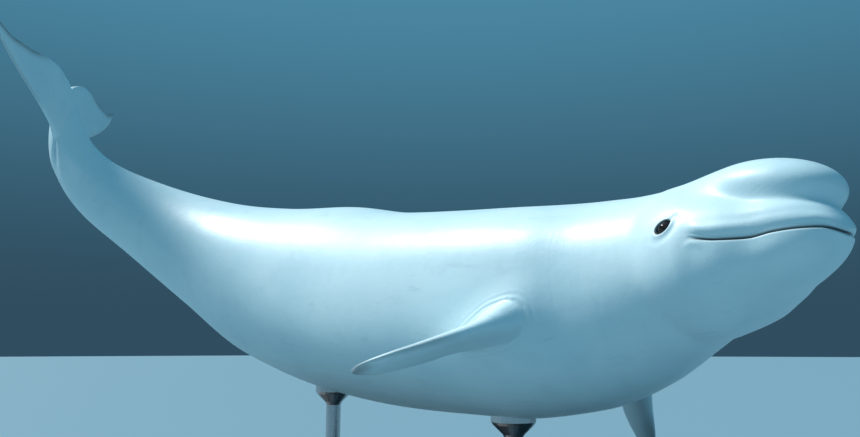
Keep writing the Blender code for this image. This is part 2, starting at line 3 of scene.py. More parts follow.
import bpy
import numpy as np
from mathutils import Matrix


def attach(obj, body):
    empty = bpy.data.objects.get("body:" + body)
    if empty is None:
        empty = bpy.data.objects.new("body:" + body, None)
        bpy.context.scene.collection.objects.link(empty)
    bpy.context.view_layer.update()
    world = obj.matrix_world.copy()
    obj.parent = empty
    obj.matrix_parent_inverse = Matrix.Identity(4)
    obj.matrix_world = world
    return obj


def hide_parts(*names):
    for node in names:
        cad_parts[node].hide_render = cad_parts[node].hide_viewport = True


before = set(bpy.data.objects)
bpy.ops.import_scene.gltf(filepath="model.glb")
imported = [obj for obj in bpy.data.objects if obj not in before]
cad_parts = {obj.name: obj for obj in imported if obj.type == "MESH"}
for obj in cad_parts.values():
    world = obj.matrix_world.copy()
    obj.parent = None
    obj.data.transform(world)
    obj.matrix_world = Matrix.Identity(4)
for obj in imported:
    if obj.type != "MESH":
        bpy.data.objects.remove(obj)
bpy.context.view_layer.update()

# The viewpoint: low beside the head, on the whale's right, looking back and a little up
# along its flank. It takes in a frame of 860 by 437.
VIEW_FROM = (1.65333, -2.16590, 0.52536)
VIEW_TILT_DEG = 99.97
VIEW_ROUND_DEG = 36.87
SENSOR_MM = 36.0
FOCAL_MM = 31.674
lens = bpy.data.cameras.new("viewpoint")
lens.sensor_width = SENSOR_MM
lens.lens = FOCAL_MM
lens.clip_end = 200.0
viewpoint = bpy.data.objects.new("viewpoint", lens)
viewpoint.location = VIEW_FROM
viewpoint.rotation_euler = (math.radians(VIEW_TILT_DEG), 0.0, math.radians(VIEW_ROUND_DEG))
bpy.context.scene.collection.objects.link(viewpoint)
bpy.context.scene.camera = viewpoint

# The hide: one white skin over head, trunk, flippers and flukes. The real one is thick,
# smooth and rubbery over blubber, creased at the mouth, the eyes and where the flippers join.
# It is worked out straight and then bent: a place is (s back from the lips, y left, z up).
BODY_LENGTH = 3.80
SPINE_ROOT = 1.20
SPINE_HEIGHT = 0.70
HEADING_DEG = -13.2
NOSE_UP_DEG = 0.1
BANK_DEG = -11.1
BALANCE_AT = 1.55
SPINE_STEP = 0.01

# Bends of the backbone, from s to s. Ahead of the root, degrees that turn the head up and
# to the left; behind it, degrees that turn the tail up and to the right.
BENDS = [
    (0.40, 0.95, 5.8, -15.5),
    (1.30, 2.40, 11.4, 24.6),
    (2.20, 3.20, 13.1, 32.0),
    (3.10, 3.75, 48.8, -14.3),
]

# The trunk at s: its height above the backbone, depth below it, half width and squareness
GIRTH = np.array([
    (0.36, 0.180, 0.168, 0.188, 2.0),
    (0.42, 0.184, 0.197, 0.200, 2.0),
    (0.50, 0.193, 0.229, 0.220, 2.05),
    (0.62, 0.211, 0.283, 0.254, 2.1),
    (0.80, 0.228, 0.337, 0.311, 2.15),
    (1.10, 0.254, 0.373, 0.362, 2.2),
    (1.50, 0.299, 0.373, 0.387, 2.2),
    (1.90, 0.342, 0.367, 0.372, 2.15),
    (2.30, 0.296, 0.336, 0.320, 2.1),
    (2.70, 0.233, 0.238, 0.235, 2.0),
    (3.05, 0.170, 0.164, 0.150, 1.9),
    (3.35, 0.123, 0.119, 0.090, 1.8),
    (3.55, 0.087, 0.086, 0.058, 1.8),
    (3.70, 0.046, 0.044, 0.040, 2.0),
    (3.76, 0.022, 0.022, 0.024, 2.0),
])
RIDGE = {"front": 1.66, "back": 2.40, "height": 0.022, "half_width": 0.022, "rise": 1.5}


def smooth_curve(at, knots, values):
    """A cubic through the knots whose slope there is the harmonic mean of its neighbours'."""
    knots = np.asarray(knots, float)
    values = np.asarray(values, float)
    rise = np.diff(values) / np.diff(knots)
    slope = np.zeros_like(values)
    same_way = rise[1:] * rise[:-1] > 0
    mean = 2 * rise[1:] * rise[:-1] / np.where(same_way, rise[1:] + rise[:-1], 1)
    slope[1:-1] = np.where(same_way, mean, 0)
    slope[0] = rise[0]
    slope[-1] = rise[-1]
    at = np.clip(np.asarray(at, float), knots[0], knots[-1])
    cell = np.clip(np.searchsorted(knots, at) - 1, 0, len(knots) - 2)
    width = knots[cell + 1] - knots[cell]
    t = (at - knots[cell]) / width
    near = (1 + 2 * t) * (1 - t) ** 2 * values[cell] + t * (1 - t) ** 2 * width * slope[cell]
    far = t * t * (3 - 2 * t) * values[cell + 1] + t * t * (t - 1) * width * slope[cell + 1]
    return near + far


def turn(axis, degrees):
    """A rotation about X, Y or Z as a matrix."""
    return np.array(Matrix.Rotation(math.radians(degrees), 3, axis))


def build_spine():
    """Steps along the backbone, each turned a little from the last, both ways from the root."""
    s = np.arange(0, BODY_LENGTH + SPINE_STEP / 2, SPINE_STEP)
    lift = np.zeros_like(s)
    veer = np.zeros_like(s)
    for start, end, up, aside in BENDS:
        t = np.clip((s - start) / (end - start), 0, 1)
        share = 6 * t * (1 - t) / (end - start) * SPINE_STEP
        lift += share * up
        veer += share * aside
    root = int(round(SPINE_ROOT / SPINE_STEP))
    axes = np.zeros((len(s), 3, 3))
    points = np.zeros((len(s), 3))
    axes[root] = turn("Z", HEADING_DEG) @ turn("Y", -NOSE_UP_DEG) @ turn("X", BANK_DEG)
    for i in range(root + 1, len(s)):
        axes[i] = axes[i - 1] @ turn("Y", lift[i]) @ turn("Z", veer[i])
        points[i] = points[i - 1] - (axes[i][:, 0] + axes[i - 1][:, 0]) * SPINE_STEP / 2
    for i in range(root - 1, -1, -1):
        axes[i] = axes[i + 1] @ turn("Y", -lift[i]) @ turn("Z", veer[i])
        points[i] = points[i + 1] + (axes[i][:, 0] + axes[i + 1][:, 0]) * SPINE_STEP / 2
    balance = points[int(round(BALANCE_AT / SPINE_STEP))]
    points += np.array([-balance[0], -balance[1], SPINE_HEIGHT])
    return s, points, axes


SPINE = build_spine()


def spine_at(s):
    """Point and axes (forward, left, up) of the backbone at s, its ends carried on straight."""
    knots, points, axes = SPINE
    s = np.asarray(s, float)
    inside = np.clip(s, knots[0], knots[-1])
    flat = axes.reshape(-1, 9)
    place = np.stack([np.interp(inside, knots, points[:, k]) for k in range(3)], -1)
    turned = np.stack([np.interp(inside, knots, flat[:, k]) for k in range(9)], -1)
    turned = turned.reshape(*s.shape, 3, 3)
    return place - turned[..., :, 0] * (s - inside)[..., None], turned


def to_room(places):
    """point(s) + left(s) y + up(s) z."""
    point, turned = spine_at(places[..., 0])
    return point + turned[..., :, 1] * places[..., 1:2] + turned[..., :, 2] * places[..., 2:3]


def straightened(points):
    """The inverse of to_room: s slides until the point lies square to the backbone there."""
    knots, spots, _ = SPINE
    nearest = ((points[:, None, :] - spots[None, ::4]) ** 2).sum(-1).argmin(1)
    s = knots[::4][nearest]
    for _ in range(14):
        point, turned = spine_at(s)
        s = s - 0.8 * ((points - point) * turned[..., :, 0]).sum(-1)
    point, turned = spine_at(s)
    rel = points - point
    return np.stack([s, (rel * turned[..., :, 1]).sum(-1), (rel * turned[..., :, 2]).sum(-1)], -1)


def trunk_radius(s, angle):
    """A superellipse with its own depth above and below, and a low crest along the back."""
    top, bottom, half, square = (smooth_curve(s, GIRTH[:, 0], GIRTH[:, k]) for k in range(1, 5))
    across = np.abs(np.cos(angle)) / half
    upright = np.abs(np.sin(angle)) / np.where(np.sin(angle) > 0, top, bottom)
    radius = (across ** square + upright ** square) ** (-1 / square)
    along = np.clip((s - RIDGE["front"]) / (RIDGE["back"] - RIDGE["front"]), 0, 1)
    side = radius * np.cos(angle) / RIDGE["half_width"]
    crest = np.sin(math.pi * along) ** RIDGE["rise"] * np.exp(-side ** 2) * (np.sin(angle) > 0)
    return radius + RIDGE["height"] * crest


# Plump forms that run into one another: centre, half lengths, degrees that the rear dips,
# and how far off each one blends with the rest. Melon, muzzle, upper lip, jaw, two cheeks.
HEAD_FORMS = [
    ((0.208, 0.0, 0.096), (0.180, 0.128, 0.075), -10.0, 0.045),
    ((0.244, 0.0, -0.043), (0.220, 0.122, 0.058), 0.0, 0.020),
    ((0.248, 0.0, 0.010), (0.210, 0.137, 0.062), -5.0, 0.034),
    ((0.251, 0.0, -0.084), (0.209, 0.114, 0.053), 7.0, 0.030),
    ((0.320, 0.112, -0.030), (0.120, 0.064, 0.090), 0.0, 0.070),
    ((0.320, -0.112, -0.030), (0.120, 0.064, 0.090), 0.0, 0.070),
]
CORE_FRONT = 0.24
FIELD_BACK = 0.62
FAN_CENTRE = 0.25

# The mouth's line in side view, s and z, and how far above and below it the skin goes along
MOUTH_Z = -0.050
MOUTH_LINE = np.array([
    (0.0, -0.072), (0.018, -0.062), (0.030, -0.043), (0.045, -0.038), (0.080, -0.038),
    (0.120, -0.039), (0.160, -0.043), (0.215, -0.040), (0.262, -0.028),
])
MOUTH_CORNER = 0.262
MOUTH_SWAY = 0.060

# Relief along the mouth: height, how far above the line, half width. A slit, the hollow
# over it and the roll of the upper lip. At the corner a small bulge lies below the line.
MOUTH_RELIEF = [
    (-0.0100, 0.0, 0.0030),
    (-0.0058, 0.0070, 0.0062),
    (0.0042, 0.0250, 0.0135),
]
MOUTH_FADE = (-0.022, 0.006)
CORNER_BULGE = {
    "height": 0.0030, "ahead": 0.004, "below": 0.0120, "long": 2.2, "half_width": 0.0060,
}

# The eyes, and the relief round them: distances across the lids are 1 at their opening
EYE_S = 0.326
EYE_Z = 0.012
EYE_RADIUS = 0.0210
EYE_DEPTH = 0.0190
LID_OPENING = (0.0205, 0.0145)
LID_SLANT_DEG = 30.0
SOCKET = {"depth": 0.0120, "floor": 0.82, "edge": 1.06}
LID_RIM = {"height": 0.0016, "fuller_below": 0.0014, "at": 1.30, "half_width": 0.24}
UPPER_FOLD = {"depth": 0.0014, "at": 1.85, "half_width": 0.30}
LOWER_FOLD = {"depth": 0.0010, "at": 2.10, "half_width": 0.40}
FOLDS_MEET = (-0.004, 0.010)
FRONT_FOLD = {"depth": 0.0048, "slope": 0.10, "above": 0.002, "half_width": 0.0062}
FRONT_FOLD_STARTS = (0.014, 0.022)
FRONT_FOLD_ENDS = (0.026, 0.050)
BLOWHOLE = {"s": 0.372, "half_span": 0.026, "bow": 0.011, "depth": 0.013, "half_width": 0.0040}
BLOWHOLE_LIPS = [(0.0030, -0.011), (0.0016, 0.012)]
BLOWHOLE_LIP_HALF_WIDTH = 0.008


def blend(a, b, reach):
    """The smaller of two distances, less (reach - |a - b|) squared / (4 reach) near both."""
    near = np.clip(reach - np.abs(a - b), 0, None)
    return np.minimum(a, b) - near * near / (4 * reach)


def plump_form(places, centre, half, dip_deg):
    """About the distance to an ellipsoid whose rear end dips: r (r - 1) / gradient of r."""
    rel = places - np.array(centre)
    dip = math.radians(dip_deg)
    along = rel[..., 0] * math.cos(dip) - rel[..., 2] * math.sin(dip)
    up = rel[..., 0] * math.sin(dip) + rel[..., 2] * math.cos(dip)
    scaled = np.stack([along / half[0], rel[..., 1] / half[1], up / half[2]], -1)
    reach = np.linalg.norm(scaled, axis=-1)
    steep = np.linalg.norm(scaled / np.array(half), axis=-1)
    return reach * (reach - 1) / np.maximum(steep, 1e-9)


def flesh(places):
    """Distance to the body's skin, below zero inside: the trunk blended with the head's forms."""
    s, y, z = places[..., 0], places[..., 1], places[..., 2]
    first = GIRTH[1][0]
    radius = trunk_radius(np.maximum(s, first), np.arctan2(z, y))
    front = np.clip(first - s, 0, None) / CORE_FRONT
    field = (np.hypot(np.hypot(y, z) / radius, front) - 1) * radius
    for centre, half, dip_deg, reach in HEAD_FORMS:
        field = blend(field, plump_form(places, centre, half, dip_deg), reach)
    return field


def reach_skin(start, ways, farthest=0.45, steps=60, halvings=20):
    """How far each ray runs from inside the body to its skin, first in steps, then halving."""
    tries = np.linspace(0.01, farthest, steps)
    inside = np.zeros(ways.shape[:-1])
    for reach in tries:
        inside = np.where(flesh(start + ways * reach) < 0, reach, inside)
    outside = inside + tries[1] - tries[0]
    for _ in range(halvings):
        middle = (inside + outside) / 2
        within = flesh(start + ways * middle[..., None]) < 0
        inside = np.where(within, middle, inside)
        outside = np.where(within, outside, middle)
    return inside


def bell(distance, half_width):
    """exp(-(distance / half width) squared)."""
    return np.exp(-(distance / half_width) ** 2)


def fade(at, start, end):
    """Zero before start, one past end, 3t squared - 2t cubed between."""
    t = np.clip((at - start) / (end - start), 0, 1)
    return t * t * (3 - 2 * t)


def eye_frame(side):
    """The eye's place on the skin and its axes: along the opening, across it, outwards."""
    start = np.array([EYE_S, 0.0, EYE_Z])
    sideways = np.array([0.0, float(side), 0.0])
    skin = start + sideways * reach_skin(start, sideways)
    steps = np.eye(3) * 0.004
    outward = flesh(skin + steps) - flesh(skin - steps)
    outward /= np.linalg.norm(outward)
    slant = math.radians(LID_SLANT_DEG)
    along = np.array([-math.cos(slant), 0.0, math.sin(slant)])
    along -= outward * (along @ outward)
    along /= np.linalg.norm(along)
    across = np.cross(outward, along)
    return skin, along, across * np.sign(across[2]), outward


EYES = {side: eye_frame(side) for side in (-1, 1)}
OTHER_SIDE = 9.0


def lids(places, side):
    """Elliptic distance from the middle of the lids' opening, 1 at their edge, and its height."""
    skin, along, across, _ = EYES[side]
    rel = places - skin
    forward, up = rel @ along, rel @ across
    wide = np.hypot(forward / LID_OPENING[0], up / LID_OPENING[1])
    return np.where(places[..., 1] * side > 0, wide, OTHER_SIDE), forward, up


def past_blowhole(s, y):
    """How far s lies behind the blowhole's slit, which bows forward in proportion to y squared."""
    return s - BLOWHOLE["s"] + BLOWHOLE["bow"] * (y / BLOWHOLE["half_span"]) ** 2


def face_relief(places):
    """Bells along lines on the face: mouth slit, lips, lids with their folds, and blowhole."""
    s, y, z = places[..., 0], places[..., 1], places[..., 2]
    at_mouth = 1 - fade(s, MOUTH_CORNER + MOUTH_FADE[0], MOUTH_CORNER + MOUTH_FADE[1])
    above_line = z - MOUTH_Z
    relief = np.zeros_like(s)
    for height, above, half_width in MOUTH_RELIEF:
        relief += height * at_mouth * bell(above_line - above, half_width)
    behind = (s - MOUTH_CORNER + CORNER_BULGE["ahead"]) / CORNER_BULGE["long"]
    away = np.hypot(behind, above_line + CORNER_BULGE["below"])
    relief += CORNER_BULGE["height"] * bell(away, CORNER_BULGE["half_width"])
    for side in (-1, 1):
        wide, forward, up = lids(places, side)
        fuller = np.clip(-up / LID_OPENING[1], -1, 1)
        rim = LID_RIM["height"] + LID_RIM["fuller_below"] * fuller
        rim = rim * bell(wide - LID_RIM["at"], LID_RIM["half_width"])
        relief += rim - SOCKET["depth"] * (1 - fade(wide, SOCKET["floor"], SOCKET["edge"]))
        upper = fade(up, *FOLDS_MEET)
        for fold, share in ((UPPER_FOLD, upper), (LOWER_FOLD, 1 - upper)):
            relief -= fold["depth"] * bell(wide - fold["at"], fold["half_width"]) * share
        off_fold = up - FRONT_FOLD["slope"] * forward - FRONT_FOLD["above"]
        fold = bell(off_fold, FRONT_FOLD["half_width"])
        fold = fold * fade(forward, *FRONT_FOLD_STARTS) * (1 - fade(forward, *FRONT_FOLD_ENDS))
        relief -= FRONT_FOLD["depth"] * fold * (wide < OTHER_SIDE)
    behind = past_blowhole(s, y)
    span = BLOWHOLE["half_span"]
    within = (1 - fade(np.abs(y), span * 0.8, span * 1.15)) * (z > 0)
    relief -= BLOWHOLE["depth"] * bell(behind, BLOWHOLE["half_width"]) * within
    for height, place in BLOWHOLE_LIPS:
        relief += height * bell(behind - place, BLOWHOLE_LIP_HALF_WIDTH) * within
    return relief


def axis_height(s):
    """The rays start at mouth height in front and on the backbone at the neck."""
    return MOUTH_Z * (1 - fade(s, FAN_CENTRE, FIELD_BACK))


def sway(places):
    """The skin beside the mouth lifted or dropped by a bell, so that its slit follows its line."""
    s, z = places[..., 0], places[..., 2]
    rise = smooth_curve(s, MOUTH_LINE[:, 0], MOUTH_LINE[:, 1]) - MOUTH_Z
    rise *= 1 - fade(s, MOUTH_CORNER, MOUTH_CORNER + 0.05)
    swayed = places.copy()
    swayed[..., 2] += rise * bell(z - MOUTH_Z, MOUTH_SWAY)
    return swayed


def crowded(low, high, count, crowds):
    """Values from low to high whose spacing shrinks near each crowd: centre, width, gain."""
    fine = np.linspace(low, high, 4001)
    density = 1 + sum(gain * bell(fine - centre, width) for centre, width, gain in crowds)
    share = np.concatenate([[0], np.cumsum((density[1:] + density[:-1]) / 2)])
    return np.interp(np.linspace(0, share[-1], count), share, fine)


def ring_faces(rings, count, offset=0):
    """Quads between rings of equal count, as rows of four corners."""
    ring, k = np.meshgrid(np.arange(rings - 1), np.arange(count), indexing="ij")
    a = (ring * count + k + offset).ravel()
    b = (ring * count + (k + 1) % count + offset).ravel()
    return np.stack([a, b, b + count, a + count], -1)


def skin_mesh(name, points, faces):
    """A mesh object from points and lists of faces."""
    mesh = bpy.data.meshes.new(name)
    mesh.from_pydata(points, [], faces)
    mesh.validate()
    mesh.update()
    obj = bpy.data.objects.new(name, mesh)
    bpy.context.scene.collection.objects.link(obj)
    return obj


def carried(start, ways):
    """Ray start + way (reach + relief), swayed to the mouth's line."""
    reach = reach_skin(start, ways)
    skin = start + ways * reach[..., None]
    return sway(start + ways * (reach + face_relief(skin))[..., None])


# The body's points: half rings fanned round the snout, then whole rings to the tail's end.
# They crowd at mouth and upper lip, in degrees up, and at eye, blowhole, neck and tail, in s.
FACE_CROWDS = [(0, 3.2, 6.0), (16.5, 6.5, 5.0)]
BODY_CROWDS = [(0.325, 0.040, 12.0), (0.372, 0.020, 5.0), (0.50, 0.25, 1.0), (3.70, 0.15, 1.5)]
EVENLY_ROUND = (0.50, 1.10)
FAN_DEG = 88.2
BODY_END = 3.775
END_ROUND_FROM = 3.755
END_ROUND = 0.021
heights = crowded(-90, 90, 125, FACE_CROWDS)
turns = np.linspace(FAN_DEG, -FAN_DEG, 99)
stations = crowded(FAN_CENTRE, BODY_END, 222, BODY_CROWDS)
up = np.radians(heights)
swing = np.radians(turns)[:, None]
fan_ways = np.stack([
    -np.cos(swing) * np.cos(up),
    np.sin(swing) * np.cos(up),
    np.sin(up) + 0 * swing,
], -1)
fan_start = np.array([FAN_CENTRE, 0.0, axis_height(FAN_CENTRE)]) + 0 * fan_ways
level = stations[:, None]
even = np.radians(np.linspace(-90, 90, len(heights)))
settled = fade(level, *EVENLY_ROUND)
half_round = up * (1 - settled) + even * settled
around = np.concatenate([half_round, math.pi - half_round[:, -2:0:-1]], 1)
ring_ways = np.stack([0 * around, np.cos(around), np.sin(around)], -1)
ring_start = np.stack([level + 0 * around, 0 * around, axis_height(level) + 0 * around], -1)
head_rows = stations < FIELD_BACK + 0.02
fan = carried(fan_start, fan_ways)
head_rings = carried(ring_start[head_rows], ring_ways[head_rows])
past = np.clip((stations - END_ROUND_FROM) / END_ROUND, 0, 1)
end_round = np.sqrt(np.clip(1 - past ** 2, 0.0004, 1))[:, None]
radius = trunk_radius(level + 0 * around, around) * end_round
trunk = ring_start + ring_ways * radius[..., None]
rings = np.concatenate([head_rings, trunk[~head_rows]])
body_points = np.concatenate([rings.reshape(-1, 3), fan[:, 1:-1].reshape(-1, 3)])

# Faces: quads between the rings, and between the fan's columns, whose ends meet in one point
# below and one above. The first and last columns are the two halves of the first ring.
count = rings.shape[1]
tall = len(heights)
columns = [np.arange(tall)]
for row in range(len(turns)):
    inner = len(stations) * count + row * (tall - 2) + np.arange(tall - 2)
    columns.append(np.concatenate([[0], inner, [tall - 1]]))
columns.append((count - np.arange(tall)) % count)
columns = np.array(columns)
left, right = columns[:-1], columns[1:]
fan_quads = np.stack([left[:, :-1], left[:, 1:], right[:, 1:], right[:, :-1]], -1)
faces = ring_faces(len(stations), count)[:, ::-1].tolist()
faces += fan_quads[:, 1:-1].reshape(-1, 4).tolist()
faces += fan_quads[:, 0][:, [0, 1, 2]].tolist()
faces += fan_quads[:, -1][:, [0, 1, 3]].tolist()
last = (len(stations) - 1) * count
faces.append(list(range(last, last + count))[::-1])
hide = skin_mesh("hide", to_room(body_points), faces)

# Flippers: narrow at the root, broad past the middle, the tip curled up; flukes: swept back,
# their trailing edges full and bowed, thick only at the root. Both are skin over stiff tissue.
FLIPPER_ROOT = (0.855, 0.285, -0.165)
FLIPPER_REACH = 0.400
FLIPPER_SUNK = 0.07
FLIPPER_CURL = 0.028
FLIPPER_POSES = {
    "right": {"side": -1, "sweep": 20.0, "droop": 29.0, "pitch": 22.0},
    "left": {"side": 1, "sweep": 29.0, "droop": 39.0, "pitch": -34.0},
}
FLUKE_ROOT = 3.62
FLUKE_HALF_SPAN = 0.505
FLUKE_TILT_DEG = 15.3
FLUKE_DROOP = 0.055
FLUKE_THICKNESS = 0.046
NOTCH = BODY_LENGTH - FLUKE_ROOT
FILLETS = {"right": 0.085, "left": 0.085, "flukes": 0.080}

# At shares of a fin's reach: how far its leading edge stands ahead of its line and its
# trailing edge behind it, and its thickness. The flukes' edges both count backwards, the
# leading one from their root and the trailing one from the notch.
FLIPPER_STOPS = (-0.3, 0, 0.25, 0.5, 0.75, 0.9, 0.97, 0.99, 1.0)
FLIPPER_AHEAD = (0.070, 0.068, 0.078, 0.086, 0.072, 0.040, 0.006, -0.014, -0.046)
FLIPPER_BEHIND = (0.070, 0.070, 0.104, 0.134, 0.130, 0.108, 0.084, 0.070, 0.052)
FLIPPER_THICK_STOPS = (-0.3, 0, 0.3, 0.6, 0.85, 1.0)
FLIPPER_THICK = (0.085, 0.072, 0.048, 0.034, 0.022, 0.010)
FLUKE_LEAD_STOPS = (0, 0.12, 0.25, 0.45, 0.65, 0.85, 0.95, 1.0)
FLUKE_LEAD = (-0.085, -0.060, -0.018, 0.044, 0.105, 0.180, 0.232, 0.284)
FLUKE_TRAIL_STOPS = (0, 0.04, 0.12, 0.26, 0.42, 0.60, 0.78, 0.90, 1.0)
FLUKE_TRAIL = (-0.012, 0.020, 0.054, 0.078, 0.076, 0.064, 0.066, 0.086, 0.112)
FLUKE_THICK_STOPS = (0, 0.15, 0.4, 0.7, 1.0)
FLUKE_THICK = (FLUKE_THICKNESS, FLUKE_THICKNESS * 0.8, 0.022, 0.013, 0.006)


class Fin:
    """A fin: chord from leading(x) to trailing(x), thickness(x) and lift(x), x metres out."""

    def __init__(self, base, axes, inner, outer, leading, trailing, thickness, lift):
        self.base, self.axes = base, axes
        self.inner, self.outer = inner, outer
        self.leading, self.trailing = leading, trailing
        self.thickness, self.lift = thickness, lift

    def points(self, x, phi):
        """Over the grid of x and phi: chord place (1 - cos phi) / 2, height sin phi to the 0.9."""
        x = x[:, None]
        t = (1 - np.cos(phi))[None, :] / 2
        chord = self.leading(x) + (self.trailing(x) - self.leading(x)) * t
        bulge = np.abs(np.sin(phi)) ** 0.9 * np.sign(np.sin(phi)) * (1.25 - 0.55 * t)
        height = self.lift(x) + self.thickness(x) / 2 * bulge
        return self.base + np.stack([x + 0 * chord, chord, height], -1) @ self.axes.T

    def distance(self, points):
        """About the distance to the fin, from the ellipse that is its section at x."""
        rel = (points - self.base) @ self.axes
        x = rel[:, 0]
        lead, trail = self.leading(x), self.trailing(x)
        half = (trail - lead) / 2
        thick = self.thickness(x) / 2 * 1.02
        c = (rel[:, 1] - (lead + trail) / 2) / half
        h = (rel[:, 2] - self.lift(x)) / thick
        q = np.hypot(c, h)
        beside = q * (q - 1) / np.maximum(np.hypot(c / half, h / thick), 1e-9)
        beyond = np.maximum(self.inner - x, 0) + np.maximum(x - self.outer, 0)
        return np.hypot(np.maximum(beside, 0), beyond) + np.minimum(beside, 0) * (beyond <= 0)


def flipper_fin(side, sweep, droop, pitch):
    """A flipper's base on the chest and its axes: outwards, to its trailing edge, to its top."""
    root, turned = spine_at(FLIPPER_ROOT[0])
    sweep, droop, pitch = (math.radians(angle) for angle in (sweep, droop, pitch))
    out = np.array([
        -math.sin(sweep) * math.cos(droop),
        side * math.cos(sweep) * math.cos(droop),
        -math.sin(droop),
    ])
    ahead = np.array([1.0, 0, 0]) - out * out[0]
    ahead /= np.linalg.norm(ahead)
    top = np.cross(ahead, out) * side
    lead_way = ahead * math.cos(pitch) + top * math.sin(pitch)
    top_way = top * math.cos(pitch) - ahead * math.sin(pitch)
    base = root + turned @ np.array([0, side * FLIPPER_ROOT[1], FLIPPER_ROOT[2]])
    axes = turned @ np.stack([out, -lead_way, top_way], -1)
    reach = FLIPPER_REACH
    return Fin(
        base, axes, -FLIPPER_SUNK, reach,
        lambda x: -smooth_curve(x / reach, FLIPPER_STOPS, FLIPPER_AHEAD),
        lambda x: smooth_curve(x / reach, FLIPPER_STOPS, FLIPPER_BEHIND),
        lambda x: smooth_curve(x / reach, FLIPPER_THICK_STOPS, FLIPPER_THICK),
        lambda x: FLIPPER_CURL * np.clip(x / reach, 0, 1) ** 3,
    )


def fluke_fin():
    """Both flukes as one fin from tip to tip: out is the whale's left, x / half span the share."""
    root, turned = spine_at(FLUKE_ROOT)
    tilt = math.radians(FLUKE_TILT_DEG)
    back = turned @ np.array([-math.cos(tilt), 0, math.sin(tilt)])
    rise = turned @ np.array([math.sin(tilt), 0, math.cos(tilt)])
    reach = FLUKE_HALF_SPAN
    return Fin(
        root, np.stack([turned[:, 1], back, rise], -1), -reach, reach,
        lambda x: smooth_curve(np.abs(x) / reach, FLUKE_LEAD_STOPS, FLUKE_LEAD),
        lambda x: NOTCH + smooth_curve(np.abs(x) / reach, FLUKE_TRAIL_STOPS, FLUKE_TRAIL),
        lambda x: smooth_curve(np.abs(x) / reach, FLUKE_THICK_STOPS, FLUKE_THICK),
        lambda x: -FLUKE_DROOP * (x / reach) ** 2,
    )


def swell(points, normals, distance, reach):
    """Points moved out by (reach - b) squared / (4 reach), b the distance to the other form."""
    moved = points
    for _ in range(6):
        near = np.clip(reach - np.maximum(distance(moved), 0), 0, reach)
        moved = points + normals * (near * near / (4 * reach))[:, None]
    return moved


def read_points(mesh, normals=False):
    """The mesh's points, or its normals at the points."""
    flat = np.empty(len(mesh.vertices) * 3)
    if normals:
        mesh.vertex_normals.foreach_get("vector", flat)
    else:
        mesh.vertices.foreach_get("co", flat)
    return flat.reshape(-1, 3)


def write_points(mesh, points):
    """Puts points into the mesh."""
    mesh.vertices.foreach_set("co", np.asarray(points, float).ravel())
    mesh.update()


# Each fin is skinned, and both it and the body swell where they near each other. They are
# then joined into one skin.
FINS = {word: flipper_fin(**pose) for word, pose in FLIPPER_POSES.items()}
FINS["flukes"] = fluke_fin()
phi = np.linspace(0, 2 * math.pi, 60, endpoint=False)
outward_share = 1 - (1 - np.linspace(0, 1, 58)) ** 1.25
flipper_x = outward_share * (FLIPPER_REACH + FLIPPER_SUNK) - FLIPPER_SUNK
fluke_x = FLUKE_HALF_SPAN * np.sin(np.linspace(-0.5, 0.5, 121) * math.pi)
body_mesh = hide.data
body_start, body_normals = read_points(body_mesh), read_points(body_mesh, True)
fins = []
for word, fin in FINS.items():
    x = fluke_x if word == "flukes" else flipper_x
    grid = fin.points(x, phi)
    points = grid.reshape(-1, 3)
    last = (len(x) - 1) * len(phi)
    closing = [list(range(len(phi)))[::-1], list(range(last, last + len(phi)))]
    piece = skin_mesh("fin_" + word, points, ring_faces(len(x), len(phi)).tolist() + closing)
    normals = read_points(piece.data, True)
    middles = grid.mean(1).repeat(len(phi), 0)
    if ((points - middles) * normals).sum() < 0:
        piece.data.flip_normals()
        normals = -normals
    swollen = swell(points, normals, lambda p: flesh(straightened(p)), FILLETS[word])
    write_points(piece.data, swollen)
    body_start = swell(body_start, body_normals, fin.distance, FILLETS[word])
    fins.append(piece)
write_points(body_mesh, body_start)
for piece in fins:
    joint = hide.modifiers.new(piece.name, "BOOLEAN")
    joint.operation = "UNION"
    joint.solver = "MANIFOLD"
    joint.object = piece
bpy.context.view_layer.update()
evaluated = hide.evaluated_get(bpy.context.evaluated_depsgraph_get())
joined = bpy.data.meshes.new_from_object(evaluated)
hide.modifiers.clear()
hide.data = joined
joined.name = "hide"
joined.shade_smooth()
for piece in fins:
    bpy.data.objects.remove(piece, do_unlink=True)


